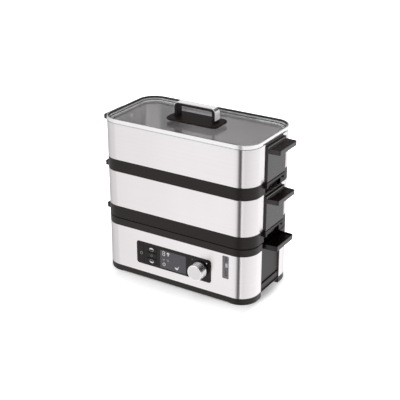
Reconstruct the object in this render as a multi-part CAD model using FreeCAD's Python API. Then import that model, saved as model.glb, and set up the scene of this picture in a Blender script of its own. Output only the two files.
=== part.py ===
"""Two-tier electric food steamer: base with water basin, two containers and a glass lid.

Millimetres, +Z up. The origin is the middle of the plane the feet stand on, the control
panel faces -Y and the long side of the body runs along X.
"""

import math
import os

import FreeCAD
import Part

Vector = FreeCAD.Vector

# Body outline, seen from above
body_length = 306.0
body_depth = 156.0
corner_radius = 33.0

# Heights of the visible bands
foot_height = 2.0
pan_height = 10.6
base_wall_height = 81.0
base_rim_height = 13.4
stack_groove = 1.6
ring_height = 22.6
wall_height = 66.8
lid_rim_height = 7.3

# Material thicknesses
steel_wall = 1.0
plastic_wall = 3.2
pan_wall = 3.0
floor_sheet = 0.8
glass_thickness = 4.0
board_thickness = 1.6

# Clearances
body_gap = 0.3
seat_gap = 0.1
spigot_gap = 0.4
bore_gap = 0.05
button_gap = 0.3
screw_play = 0.2
glass_hole_play = 0.5

# How far joined pieces run into each other and cuts run past a face, and how near counts as on it
overlap = 1.0
touch = 1e-6

# Rounded edges
fine_edge = 0.4
soft_edge = 0.8
pad_edge = 1.2
plate_edge = 0.8
ridge_edge = 0.9
heater_edge = 0.6
button_edge = 0.35
lens_edge = 0.3
float_edge = 1.5
gland_edge = 1.0
lid_plate_edge = 1.2

# Stacking spigots under the rings and the lid
hem_height = 5.0
spigot_inset = 2.6
spigot_wall = 2.4
spigot_depth = 4.7
spigot_root = 3.0
upstand_height = 6.0
upstand_root = 2.0

# End handles of the containers and filler scoops of the base
end_half_width = 33.0
end_pad_depth = 6.0
end_groove = 1.2
handle_reach = 27.3
handle_thickness = 8.6
handle_drop = 6.6
handle_taper = 2.0
handle_corner = 3.0
handle_edge = 0.8
handle_inset = 0.5
plate_drop = 2.5
pad_strip = 5.0
recess_half_width = 28.0
recess_depth = 7.0
recess_height = 11.1
recess_wall = 2.5
shelf_root = 2.0
grip_start = 4.0
grip_end = 5.0
grip_side = 4.5
grip_depth = 2.4
ridge_depth = 2.0
ridge_height = 1.2
ridge_side = 1.5
scoop_thickness = 9.4
scoop_drop = 0.6
scoop_wall = 1.6
scoop_root = 7.0
scoop_grip_margin = 3.0
scoop_grip_end = 2.0
scoop_grip_depth = 1.6
dish_slope = 1.4
dish_corner = 2.0
handle_screw_spread = 20.0
handle_screw_low = 16.0
handle_screw_high = 44.0
handle_screw_bite = 4.5
handle_pilot_spare = 0.5

# Floors of the containers
floor_level = 14.0
floor_ledge = 6.3
ledge_thickness = 2.4
hole_radius = 2.0
hole_pitch = 17.0
hole_margin = 4.0

# Base fittings
window_half_width = 33.5
window_flange = 5.0
panel_recess = 3.0
sill_height = 12.6
sill_proud = 1.4
sill_groove = 2.4
sill_groove_depth = 1.6
arch_depth = 12.0
arch_height = 9.0
foot_reach = 38.0
foot_inset = 1.0
foot_hole_gap = 1.0
pan_upstand_wall = 2.0
pan_upstand_rise = 4.0
lining_drop = 0.2
wing_thickness = 2.0
wing_width = 3.0
window_cut = 3.0
vent_count = 7
vent_pitch = 8.0
vent_width = 3.0
vent_length = 40.0
vent_corner = 1.4
basin_ledge_inset = 11.0
basin_opening_inset = 16.0
basin_wall = 1.2
basin_play = 1.0
basin_floor_level = 46.0
basin_flange_level = 100.0
heater_radius = 42.0
heater_thickness = 5.0
heater_proud = 1.0
seal_width = 2.0
seal_lip = 2.0
seal_under = 2.0
seal_over = 1.5
tube_inset = 12.6
tube_sweep = 300.0
tube_radius = 3.5
tube_leg = 14.0
tube_pin = 8.0
tube_pin_radius = 1.2
stat_radius = 8.0
stat_height = 6.0
stat_neck_radius = 6.0
stat_neck = 4.0
blade_length = 8.0
blade_width = 6.0
blade_thickness = 0.8
blade_spread = 4.0
fuse_radius = 3.0
fuse_length = 18.0
fuse_offset = 17.0
fuse_lead = 6.0
fuse_lead_radius = 0.6
collar_gap = 3.5
collar_wall = 2.0
collar_height = 24.0
collar_notches = 6
notch_width = 10.0
notch_height = 7.0
post_reach = 26.0
post_radius = 4.5
post_foot_rise = 4.0
post_root = 2.0
boss_wall = 0.5
counterbore_spare = 1.5
screw_radius = 1.5
screw_head_radius = 3.2
screw_head_height = 2.2
screw_bite = 14.0
pilot_spare = 2.0

# Control panel on the front
panel_x = -0.8
panel_z = 50.8
panel_width = 157.2
panel_tall = 44.4
panel_corner = 5.0
panel_proud = 0.6
panel_plate = 4.2
panel_flange = 4.0
board_gap = 3.8
board_margin = 3.0
board_post_inset = 5.0
board_post_radius = 2.6
board_over = 1.0
board_corner = 2.0
board_screw_head = 1.6
switch_half_width = 3.0
plunger_radius = 1.6
plunger_travel = 0.6
plunger_root = 0.1
encoder_half_width = 6.5
encoder_gap = 0.2
encoder_floor = 1.0
display_tall = 35.2
display_corner = 1.4
display_thickness = 2.0
display_margin = 1.0
display_drop = 1.6
display_left_margin = 7.7
display_right_margin = 14.3
power_margin = 5.2
power_width = 10.4
column_margin = 6.5
column_width = 21.0
key_tall = 33.0
key_drop = 0.6
key_rib = 1.4
button_proud = 0.4
button_travel = 1.0
button_corner = 2.0
button_lip = 1.0
button_lip_thickness = 1.0
button_lip_inset = 1.5
knob_margin = 6.5
knob_radius = 15.5
knob_height = 19.0
knob_gap = 0.6
knob_skirt = 2.4
knob_step = 0.7
knob_step_slope = 0.4
knob_foot_edge = 0.5
knob_crown_edge = 1.0
knob_face_margin = 1.8
knob_face_depth = 0.8
knob_face_proud = 0.1
knob_cap = 4.0
shaft_radius = 3.0
shaft_gap = 0.2
shaft_end_gap = 0.5
bush_radius = 4.5
light_radius = 1.2
light_left = 16.2
light_right = 13.2
light_rise = 15.0
light_proud = 0.1

# Water gauge on the front
gauge_inset = 13.2
gauge_z = 68.4
gauge_width = 12.4
gauge_tall = 43.2
gauge_corner = 1.6
gauge_flange = 2.0
gauge_wall = 2.0
gauge_depth = 7.6
gauge_proud = 0.2
stub_rise = 5.0
stub_radius = 3.0
drain_radius = 1.8
float_radius = 3.4
float_height = 8.0
float_rise = 1.6
float_play = 0.5

# Cord gland on the back
gland_inset = 14.0
gland_z = 34.0
gland_radius = 7.0
gland_bore = 3.8
gland_flange = 3.0
gland_lip = 3.0
gland_neck = 7.0
nut_lip = 3.5
nut_thickness = 4.4

# Lid
lid_rim_width = 5.0
lid_lip = 2.4
lid_seam = 0.7
lid_seam_depth = 0.8
slot_height = 2.4
slot_depth = 1.6
slot_half_width = 40.0
liner_height = 2.8
liner_width = 0.8
liner_drop = 0.3
glass_ledge = 6.0
lid_sheet = 1.1
gasket_width = 1.0
gasket_height = 1.0
plate_length = 104.0
plate_width = 48.5
plate_corner = 12.0
plate_thickness = 3.4
plate_foot_radius = 9.0
plate_foot_height = 3.8
bridge_half_length = 41.0
bridge_half_width = 8.2
bridge_height = 26.7
bridge_leg = 5.2
bridge_bar = 4.3
bridge_corner = 9.5
bridge_inner_corner = 3.5
trim_thickness = 1.5
trim_inset = 0.8
trim_start = 5.0
trim_gap = 0.02
washer_thickness = 1.2
washer_lip = 2.0

# Levels worked out from the bands
pan_top = foot_height + pan_height
base_wall_top = pan_top + base_wall_height
base_rim_top = base_wall_top + base_rim_height
lower_ring = base_rim_top + stack_groove
container_pitch = ring_height + wall_height + body_gap
upper_ring = lower_ring + container_pitch
lid_bottom = upper_ring + container_pitch
half_length = body_length / 2
front = -body_depth / 2
pan_floor_top = foot_height + pan_wall
rebate_inset = spigot_inset - spigot_gap
rebate_level = lower_ring - spigot_depth - body_gap

# Places worked out from the outline and the panel's edges
corner_x = half_length - corner_radius
corner_y = body_depth / 2 - corner_radius
gauge_x = corner_x - gauge_inset
gland_x = corner_x - gland_inset
panel_left = panel_x - panel_width / 2
panel_right = panel_x + panel_width / 2
power_x = panel_left + power_margin + power_width / 2
column_x = power_x + power_width / 2 + column_margin + column_width / 2
knob_x = panel_right - knob_margin - knob_radius
light_x = (knob_x - light_left, knob_x + light_right)
light_z = panel_z + light_rise
display_left = column_x + column_width / 2 + display_left_margin
display_right = knob_x - knob_radius - display_right_margin
display_width = display_right - display_left
display_x = (display_left + display_right) / 2
display_z = panel_z - display_drop
key_z = panel_z - key_drop


def slab(length, depth, radius, low, high, x=0.0, y=0.0):
    """Upright block with a rounded rectangular outline."""
    block = Part.makeBox(length, depth, high - low, Vector(x - length / 2, y - depth / 2, low))
    upright = [edge for edge in block.Edges if is_along(edge, Vector(0, 0, 1))]
    return block.makeFillet(radius, upright)


def is_along(edge, direction):
    """True for a straight edge that runs along a direction."""
    if not isinstance(edge.Curve, (Part.Line, Part.LineSegment)):
        return False
    return abs(edge.tangentAt(edge.FirstParameter).dot(direction)) > 1 - touch


def plan(inset, low, high):
    """Body outline drawn in by an inset, between two heights."""
    return slab(body_length - 2 * inset, body_depth - 2 * inset, corner_radius - inset, low, high)


def band(outer, inner, low, high):
    """Ring between two insets of the body outline."""
    return plan(outer, low, high).cut(plan(inner, low, high))


def box(x_low, x_high, y_low, y_high, low, high):
    """Plain block between pairs of limits."""
    size = Vector(x_high - x_low, y_high - y_low, high - low)
    return Part.makeBox(size.x, size.y, size.z, Vector(x_low, y_low, low))


def end_box(x_low, x_high, half_width, low, high):
    """Matching blocks at the right and left ends."""
    right = box(x_low, x_high, -half_width, half_width, low, high)
    return Part.makeCompound([right, mirrored(right)])


def upright_rod(x, y, low, high, radius):
    """Cylinder along Z."""
    return Part.makeCylinder(radius, high - low, Vector(x, y, low))


def level_rod(x, z, near, far, radius):
    """Cylinder along Y."""
    return Part.makeCylinder(radius, far - near, Vector(x, near, z), Vector(0, 1, 0))


def tile(x, z, width, tall, radius, near, far):
    """Rounded rectangular plate that faces -Y."""
    block = box(x - width / 2, x + width / 2, near, far, z - tall / 2, z + tall / 2)
    return block.makeFillet(radius, [edge for edge in block.Edges if is_along(edge, Vector(0, 1, 0))])


def mirrored(shape):
    """Copy on the other side of the plane X = 0."""
    return shape.mirror(Vector(0, 0, 0), Vector(1, 0, 0))


def softened(shape, radius, wanted):
    """Shape with a fillet on each edge whose middle the test wants."""
    edges = [edge for edge in shape.Edges if wanted(edge.CenterOfMass)]
    return shape.makeFillet(radius, edges)


def corners(x, y):
    """The four points at plus and minus x and y."""
    return [(sign_x * x, sign_y * y) for sign_x in (-1, 1) for sign_y in (-1, 1)]


def screw(x, y, seat, tip):
    """Screw that points up, with its head under a seat and its tip at a height."""
    shank = upright_rod(x, y, seat, tip, screw_radius)
    head = upright_rod(x, y, seat - screw_head_height, seat, screw_head_radius)
    return shank.fuse(head)


def save(node, shape):
    """Write one piece to its own file."""
    shape.removeSplitter().exportStep("parts/" + node + ".step")


post_step = post_reach * math.sqrt(0.5)
post_places = corners(corner_x + post_step, corner_y + post_step)
post_foot = pan_top + post_foot_rise
counterbore_top = foot_height + screw_head_height + counterbore_spare


def build_pan():
    """Bottom tray with a locating upstand, screw bosses, end arches and vent slots."""
    upstand_inset = steel_wall + body_gap
    tray = plan(0, foot_height, pan_top)
    tray = tray.cut(plan(pan_wall, pan_floor_top, pan_top))
    upstand_top = pan_top + pan_upstand_rise
    upstand = band(upstand_inset, upstand_inset + pan_upstand_wall, pan_top - overlap, upstand_top)
    upstand = upstand.cut(end_box(0, half_length, window_half_width + window_flange, pan_top, upstand_top))
    arch_lining = end_box(
        half_length - arch_depth - pan_wall,
        half_length - overlap,
        end_half_width + pan_wall,
        foot_height,
        pan_top - lining_drop,
    )
    bosses = [upright_rod(x, y, foot_height, post_foot, post_radius + boss_wall) for x, y in post_places]
    tray = tray.fuse([upstand, arch_lining] + bosses)
    arch_top = foot_height + arch_height
    cuts = [end_box(half_length - arch_depth, half_length + overlap, end_half_width, 0, arch_top)]
    for x, y in post_places:
        cuts.append(upright_rod(x, y, 0, counterbore_top, screw_head_radius + body_gap))
        cuts.append(upright_rod(x, y, 0, post_foot, screw_radius + body_gap))
    for row in range(vent_count):
        vent_x = (row - (vent_count - 1) / 2) * vent_pitch
        cuts.append(slab(vent_width, vent_length, vent_corner, 0, pan_floor_top, vent_x, 0))
    return tray.cut(cuts)


def build_feet():
    """Rubber pads under the four corners."""
    pads = plan(foot_inset, 0, foot_height)
    bars = [
        box(-half_length, half_length, -end_half_width, end_half_width, 0, foot_height),
        box(foot_reach - half_length, half_length - foot_reach, front, -front, 0, foot_height),
    ]
    bars += [upright_rod(x, y, 0, foot_height, screw_head_radius + foot_hole_gap) for x, y in post_places]
    return pads.cut(bars)


def build_shells():
    """Steel front and back of the base, folded inward beside the end windows."""
    wall = band(0, steel_wall, pan_top, base_wall_top)
    wall = wall.cut(end_box(0, half_length, window_half_width, pan_top, base_wall_top))
    folds = []
    for side in (-1, 1):
        near = min(side * window_half_width, side * (window_half_width + steel_wall))
        fold = box(
            half_length - window_flange,
            half_length,
            near,
            near + steel_wall,
            pan_top,
            base_wall_top,
        )
        folds += [fold, mirrored(fold)]
    wall = wall.fuse(folds)
    front_half = wall.common(box(-half_length, half_length, front, 0, pan_top, base_wall_top))
    back_half = wall.common(box(-half_length, half_length, 0, -front, pan_top, base_wall_top))
    front_half = front_half.cut(
        [
            tile(
                panel_x,
                panel_z,
                panel_width + 2 * seat_gap,
                panel_tall + 2 * seat_gap,
                panel_corner + seat_gap,
                front - overlap,
                front + window_cut,
            ),
            tile(
                gauge_x,
                gauge_z,
                gauge_width + 2 * seat_gap,
                gauge_tall + 2 * seat_gap,
                gauge_corner + seat_gap,
                front - overlap,
                front + window_cut,
            ),
        ]
    )
    hole = level_rod(gland_x, gland_z, -front - window_cut, -front + overlap, gland_radius + seat_gap)
    back_half = back_half.cut(hole)
    return front_half, back_half


def build_end_panel():
    """Recessed black panel that fills the right-hand end window, held behind the folds."""
    face = half_length - panel_recess
    back = half_length - window_flange - seat_gap
    half_width = window_half_width - body_gap
    front_plate = box(back, face, -half_width, half_width, pan_top, base_wall_top)
    front_plate = softened(
        front_plate,
        soft_edge,
        lambda middle: abs(middle.x - face) < touch and middle.z > pan_top + touch,
    )
    wing = half_width + wing_width
    wings = box(back - wing_thickness, back, -wing, wing, pan_top, base_wall_top)
    sill_top = pan_top + sill_height
    sill_face = face + sill_proud
    sill = box(face - overlap, sill_face, -half_width, half_width, pan_top, sill_top)
    sill = softened(
        sill,
        soft_edge,
        lambda middle: middle.x > sill_face - touch and middle.z > sill_top - touch,
    )
    groove_back = face - sill_groove_depth
    groove = box(groove_back, face + overlap, -half_width, half_width, sill_top, sill_top + sill_groove)
    return front_plate.fuse([wings, sill]).cut(groove)


def build_base_rim():
    """Top deck with the stacking rebate, the basin ledge and four screw posts."""
    deck = plan(0, base_wall_top, base_rim_top)
    cuts = [
        plan(rebate_inset, rebate_level, base_rim_top),
        plan(basin_ledge_inset, basin_flange_level, base_rim_top),
        plan(basin_opening_inset, base_wall_top, base_rim_top),
    ]
    notch_low = base_rim_top - scoop_drop - scoop_thickness - seat_gap
    notch_x = half_length - scoop_root - seat_gap
    notch_half_width = end_half_width - handle_inset + seat_gap
    cuts.append(end_box(notch_x, half_length + overlap, notch_half_width, notch_low, base_rim_top))
    channel_x = half_length - basin_ledge_inset - overlap
    channel_low = basin_flange_level + basin_wall
    cuts.append(end_box(channel_x, half_length, recess_half_width, channel_low, base_rim_top))
    deck = deck.cut(cuts)
    deck = softened(deck, soft_edge, is_rim_crest)
    posts = [upright_rod(x, y, post_foot, base_wall_top + post_root, post_radius) for x, y in post_places]
    pilot_top = post_foot + screw_bite + pilot_spare
    pilots = [upright_rod(x, y, post_foot, pilot_top, screw_radius + bore_gap) for x, y in post_places]
    return deck.fuse(posts).cut(pilots)


def is_rim_crest(middle):
    """True on the outer top edge of the base rim."""
    on_top = abs(middle.z - base_rim_top) < touch
    return on_top and (abs(middle.y) > body_depth / 2 - touch or is_outer_corner(middle))


# A quarter circle's centre of mass lies at this share of its radius; edges drawn in less than
# the slack count as on the outline
arc_middle = 2 * math.sqrt(2) / math.pi
arc_slack = 1.0


def is_outer_corner(middle):
    """True for the middle of a curved edge that runs round a corner of the outline."""
    across = abs(middle.x) - corner_x
    along = abs(middle.y) - corner_y
    if across <= 0 or along <= 0:
        return False
    return math.hypot(across, along) > corner_radius * arc_middle - arc_slack


def tongue(reach, half_width, low, high, root):
    """Tapered shelf with rounded outer corners that stands out of the right end."""
    tip = half_length + reach
    narrow = half_width - handle_taper
    points = [
        Vector(root, -half_width, low),
        Vector(tip, -narrow, low),
        Vector(tip, narrow, low),
        Vector(root, half_width, low),
        Vector(root, -half_width, low),
    ]
    shelf = Part.Face(Part.makePolygon(points)).extrude(Vector(0, 0, high - low))
    shelf = shelf.makeFillet(
        handle_corner,
        [e for e in shelf.Edges if is_along(e, Vector(0, 0, 1)) and e.CenterOfMass.x > tip - overlap],
    )
    rim_edges = [
        e for e in shelf.Edges if not is_along(e, Vector(0, 0, 1)) and e.CenterOfMass.x > root + overlap
    ]
    return shelf.makeFillet(handle_edge, rim_edges)


def build_scoop():
    """Filler scoop on the right end: a grip with a dish that drains into the basin."""
    high = base_rim_top - scoop_drop
    low = high - scoop_thickness
    root = half_length - scoop_root
    outer = end_half_width - handle_inset
    body = tongue(handle_reach, outer, low, high, root)
    tip = half_length + handle_reach - scoop_wall
    dish_low = basin_flange_level + basin_wall
    half_width = outer - handle_taper - scoop_wall
    profile = [
        Vector(root - overlap, -half_width, dish_low),
        Vector(tip, -half_width, dish_low + dish_slope),
        Vector(tip, -half_width, high + overlap),
        Vector(root - overlap, -half_width, high + overlap),
        Vector(root - overlap, -half_width, dish_low),
    ]
    dish = Part.Face(Part.makePolygon(profile)).extrude(Vector(0, 2 * half_width, 0))
    dish = dish.makeFillet(
        dish_corner,
        [e for e in dish.Edges if is_along(e, Vector(0, 0, 1)) and e.CenterOfMass.x > tip - overlap],
    )
    grip_half_width = half_width - scoop_grip_margin
    grip = box(
        half_length + scoop_grip_margin,
        tip - scoop_grip_end,
        -grip_half_width,
        grip_half_width,
        low - overlap,
        low + scoop_grip_depth,
    )
    return body.cut([dish, grip])


def build_basin():
    """Pressed water basin with a flange, and a round opening for the heater."""
    outer_inset = basin_opening_inset + basin_play
    top = basin_flange_level + basin_wall
    shell = plan(outer_inset, basin_floor_level, top)
    flange = plan(basin_ledge_inset + body_gap, basin_flange_level, top)
    pocket = plan(outer_inset + basin_wall, basin_floor_level + basin_wall, top)
    opening = upright_rod(0, 0, 0, top, heater_radius + seal_width)
    return shell.fuse(flange).cut([pocket, opening])


def build_heater():
    """Heater plate, its seal, the bent heating tube, the thermostat and the thermal fuse."""
    seat = basin_floor_level + basin_wall
    plate = upright_rod(0, 0, seat - heater_thickness, seat + heater_proud, heater_radius)
    plate = softened(plate, heater_edge, lambda middle: middle.z > seat)
    seal_radius = heater_radius + seal_width
    seal_top = seat + seal_over
    seal = upright_rod(0, 0, basin_floor_level - seal_under, seal_top, seal_radius + seal_lip)
    seal = seal.cut(upright_rod(0, 0, 0, seal_top, heater_radius))
    groove = upright_rod(0, 0, basin_floor_level, seat, seal_radius + seal_lip + overlap)
    groove = groove.cut(upright_rod(0, 0, basin_floor_level, seat, seal_radius))
    seal = seal.cut(groove)
    below = seat - heater_thickness - tube_radius
    bend = heater_radius - tube_inset
    tube = Part.makeTorus(bend, tube_radius, Vector(0, 0, below), Vector(0, 0, 1), -180, 180, tube_sweep)
    turned = math.radians(tube_sweep)
    ends = [Vector(bend, 0, below), Vector(bend * math.cos(turned), bend * math.sin(turned), below)]
    down = Vector(0, 0, -1)
    legs = [Part.makeCylinder(tube_radius, tube_leg, end, down) for end in ends]
    knees = [Part.makeSphere(tube_radius, end) for end in ends]
    pins = [Part.makeCylinder(tube_pin_radius, tube_pin, end + down * tube_leg, down) for end in ends]
    tube = tube.fuse(legs + knees + pins)
    under = seat - heater_thickness
    neck_top = under - stat_height
    neck_low = neck_top - stat_neck
    stat = upright_rod(0, 0, neck_top, under, stat_radius)
    stat = stat.fuse(upright_rod(0, 0, neck_low, neck_top, stat_neck_radius))
    half_blade = blade_thickness / 2
    blades = [
        box(
            x - half_blade,
            x + half_blade,
            -blade_width / 2,
            blade_width / 2,
            neck_low - blade_length,
            neck_low,
        )
        for x in (-blade_spread, blade_spread)
    ]
    stat = stat.fuse(blades)
    fuse_middle = Vector(0, -fuse_offset, under - fuse_radius)
    along = Vector(1, 0, 0)
    lead_length = fuse_length + 2 * fuse_lead
    link = Part.makeCylinder(fuse_radius, fuse_length, fuse_middle - along * (fuse_length / 2), along)
    leads = Part.makeCylinder(fuse_lead_radius, lead_length, fuse_middle - along * (lead_length / 2), along)
    return plate, seal, tube, stat, link.fuse(leads)


def build_collar():
    """Steam collar that stands on the basin floor around the heater, notched at its foot."""
    low = basin_floor_level + basin_wall
    inner = heater_radius + seal_width + collar_gap
    collar = upright_rod(0, 0, low, low + collar_height, inner + collar_wall)
    collar = collar.cut(upright_rod(0, 0, low, low + collar_height, inner))
    half_notch = notch_width / 2
    notch_end = inner + collar_wall + overlap
    notch = box(inner - overlap, notch_end, -half_notch, half_notch, low, low + notch_height)
    cuts = []
    for step in range(collar_notches):
        turned = notch.copy()
        turned.rotate(Vector(0, 0, 0), Vector(0, 0, 1), (step + 0.5) * 360 / collar_notches)
        cuts.append(turned)
    return collar.cut(cuts)


panel_front = front - panel_proud
panel_back = panel_front + panel_plate
board_front = panel_back + board_gap
board_back = board_front + board_thickness
board_width = panel_width - 2 * board_margin
board_tall = panel_tall + 2 * board_over
board_post_x = board_width / 2 - board_post_inset
board_post_z = board_tall / 2 - board_post_radius
board_post_places = [(panel_x + x, panel_z + z) for x, z in corners(board_post_x, board_post_z)]
column_button_tall = (key_tall - 2 * key_rib) / 3
button_places = {
    "power_button": (power_x, key_z, power_width, key_tall),
    "upper_tier_button": (
        column_x,
        key_z + column_button_tall + key_rib,
        column_width,
        column_button_tall,
    ),
    "start_button": (column_x, key_z, column_width, column_button_tall),
    "lower_tier_button": (
        column_x,
        key_z - column_button_tall - key_rib,
        column_width,
        column_button_tall,
    ),
}
button_back = panel_back + button_gap + button_lip_thickness
lens_front = panel_front + seat_gap
lens_back = lens_front + display_thickness


def build_panel():
    """Control panel held behind the steel by its flange, with posts for the board."""
    plate = tile(panel_x, panel_z, panel_width, panel_tall, panel_corner, panel_front, panel_back)
    plate = softened(plate, fine_edge, lambda middle: abs(middle.y - panel_front) < touch)
    flange = tile(
        panel_x,
        panel_z,
        panel_width + 2 * panel_flange,
        panel_tall + 2 * panel_flange,
        panel_corner + panel_flange,
        front + steel_wall + seat_gap,
        panel_back,
    )
    posts = [
        level_rod(x, z, panel_back - overlap, board_front, board_post_radius) for x, z in board_post_places
    ]
    near = panel_front - overlap
    far = panel_back + overlap
    cuts = [
        tile(
            display_x,
            display_z,
            display_width + 2 * seat_gap,
            display_tall + 2 * seat_gap,
            display_corner + seat_gap,
            near,
            far,
        )
    ]
    for x, z, width, tall in button_places.values():
        room = 2 * button_gap
        cuts.append(tile(x, z, width + room, tall + room, button_corner, near, far))
    cuts.append(level_rod(knob_x, panel_z, near, far, bush_radius + seat_gap))
    for x in light_x:
        cuts.append(level_rod(x, light_z, near, far, light_radius + seat_gap))
    for x, z in board_post_places:
        cuts.append(level_rod(x, z, panel_back, board_front + overlap, screw_radius + bore_gap))
    return plate.fuse([flange] + posts).cut(cuts)


def build_display():
    """Display lens and the module behind it."""
    lens = tile(display_x, display_z, display_width, display_tall, display_corner, lens_front, lens_back)
    half_width = display_width / 2 - display_margin
    half_tall = display_tall / 2 - display_margin
    module = box(
        display_x - half_width,
        display_x + half_width,
        lens_back + seat_gap,
        board_front,
        display_z - half_tall,
        display_z + half_tall,
    )
    return lens, module


def build_board():
    """Control board with the switches, the encoder, the light pipes and the board screws."""
    board = tile(panel_x, panel_z, board_width, board_tall, board_corner, board_front, board_back)
    hole_size = screw_radius + screw_play
    board = board.cut([level_rod(x, z, board_front, board_back, hole_size) for x, z in board_post_places])
    contact = button_back + button_travel + button_gap
    switches = []
    for x, z, width, tall in button_places.values():
        half = switch_half_width
        body_face = contact + plunger_travel
        plunger = level_rod(x, z, contact, body_face + plunger_root, plunger_radius)
        switches += [box(x - half, x + half, body_face, board_front, z - half, z + half), plunger]
    bush = level_rod(knob_x, panel_z, panel_front + encoder_gap, board_front, bush_radius)
    half = encoder_half_width
    can_front = panel_back + encoder_gap
    can = box(knob_x - half, knob_x + half, can_front, board_front, panel_z - half, panel_z + half)
    bore_end = board_front - encoder_floor
    bore = level_rod(knob_x, panel_z, panel_front, bore_end, shaft_radius + bore_gap)
    encoder = bush.fuse(can).cut(bore)
    pipes = [level_rod(x, light_z, panel_front - light_proud, board_front, light_radius) for x in light_x]
    fixings = []
    for x, z in board_post_places:
        shank = level_rod(x, z, panel_back + screw_play, board_back, screw_radius)
        head = level_rod(x, z, board_back, board_back + board_screw_head, board_post_radius)
        fixings.append(shank.fuse(head))
    return board, Part.makeCompound(switches), encoder, Part.makeCompound(pipes), Part.makeCompound(fixings)


def build_button(x, z, width, tall):
    """Push button with side lips that keep it behind the panel."""
    face = panel_front - button_proud
    cap = tile(x, z, width, tall, button_corner - button_gap, face, button_back)
    cap = softened(cap, button_edge, lambda middle: abs(middle.y - face) < touch)
    lips = box(
        x - width / 2 - button_lip,
        x + width / 2 + button_lip,
        panel_back + button_gap,
        button_back,
        z - tall / 2 + button_lip_inset,
        z + tall / 2 - button_lip_inset,
    )
    return cap.fuse(lips)


def build_knob():
    """Turned selector knob, its satin face disc and the shaft it sits on."""
    low = panel_front - knob_gap
    high = panel_front - knob_height
    groove = knob_radius - knob_step
    profile = [
        Vector(0, low, 0),
        Vector(knob_radius - knob_foot_edge, low, 0),
        Vector(knob_radius, low - knob_foot_edge, 0),
        Vector(knob_radius, low - knob_skirt, 0),
        Vector(groove, low - knob_skirt - knob_step_slope, 0),
        Vector(groove, high + knob_crown_edge, 0),
        Vector(groove - knob_crown_edge, high, 0),
        Vector(0, high, 0),
        Vector(0, low, 0),
    ]
    body = Part.Face(Part.makePolygon(profile)).revolve(Vector(0, 0, 0), Vector(0, 1, 0), 360)
    body.translate(Vector(knob_x, 0, panel_z))
    face_radius = groove - knob_face_margin
    face_back = high + knob_face_depth
    bore_end = high + knob_cap
    pocket = level_rod(knob_x, panel_z, high - overlap, face_back, face_radius + bore_gap)
    bore = level_rod(knob_x, panel_z, bore_end, low + overlap, shaft_radius + bore_gap)
    disc = level_rod(knob_x, panel_z, high - knob_face_proud, face_back, face_radius)
    shaft_back = board_front - encoder_floor - shaft_end_gap
    shaft = level_rod(knob_x, panel_z, bore_end + shaft_gap, shaft_back, shaft_radius)
    return body.cut([pocket, bore]), disc, shaft


gauge_front = front - gauge_proud
gauge_back = front + steel_wall + seat_gap
channel_near = gauge_back + gauge_wall
channel_axis = channel_near + gauge_depth / 2
channel_tall = gauge_tall - 2 * gauge_wall
float_z = gauge_z + float_rise


def build_gauge():
    """Water gauge: clear window, channel joined to the basin by a stub, and the float."""
    lens = tile(gauge_x, gauge_z, gauge_width, gauge_tall, gauge_corner, gauge_front, gauge_back)
    lens = softened(lens, lens_edge, lambda middle: abs(middle.y - gauge_front) < touch)
    flange = tile(
        gauge_x,
        gauge_z,
        gauge_width + 2 * gauge_flange,
        gauge_tall + 2 * gauge_flange,
        gauge_corner + gauge_flange,
        gauge_back,
        channel_near,
    )
    lens = lens.fuse(flange)
    back = channel_near + gauge_depth + gauge_wall
    channel_radius = float_radius + float_play
    housing = tile(
        gauge_x,
        gauge_z,
        gauge_width + 2 * gauge_flange,
        gauge_tall + 2 * gauge_flange,
        gauge_corner + gauge_flange,
        channel_near,
        back,
    )
    channel = tile(
        gauge_x,
        gauge_z,
        2 * channel_radius,
        channel_tall,
        float_radius,
        channel_near - overlap,
        channel_near + gauge_depth,
    )
    stub_z = gauge_z - channel_tall / 2 + stub_rise
    basin_face = front + basin_opening_inset + basin_play
    stub = level_rod(gauge_x, stub_z, back - overlap, basin_face, stub_radius)
    drain = level_rod(gauge_x, stub_z, channel_near, basin_face + overlap, drain_radius)
    housing = housing.fuse(stub).cut([channel, drain])
    bob = upright_rod(
        gauge_x, channel_axis, float_z - float_height / 2, float_z + float_height / 2, float_radius
    )
    bob = softened(bob, float_edge, lambda middle: abs(abs(middle.z - float_z) - float_height / 2) < touch)
    return lens, housing, bob


def build_gland():
    """Cord gland through the back wall, with its nut inside."""
    wall_face = -front
    inner = wall_face - steel_wall
    flange_face = wall_face + gland_flange
    flange = level_rod(gland_x, gland_z, wall_face, flange_face, gland_radius + gland_lip)
    flange = softened(flange, gland_edge, lambda middle: abs(middle.y - flange_face) < touch)
    neck_end = inner - gland_neck
    neck = level_rod(gland_x, gland_z, neck_end, wall_face + overlap, gland_radius)
    bore = level_rod(gland_x, gland_z, neck_end - overlap, flange_face + overlap, gland_bore)
    gland = flange.fuse(neck).cut(bore)
    reach = gland_radius + nut_lip
    nut_face = inner - seat_gap - nut_thickness
    spokes = [math.radians(60 * step) for step in range(7)]
    points = [Vector(gland_x + reach * math.cos(a), nut_face, gland_z + reach * math.sin(a)) for a in spokes]
    nut = Part.Face(Part.makePolygon(points)).extrude(Vector(0, nut_thickness, 0))
    nut = nut.cut(level_rod(gland_x, gland_z, nut_face - overlap, wall_face, gland_radius + bore_gap))
    return gland, nut


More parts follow.
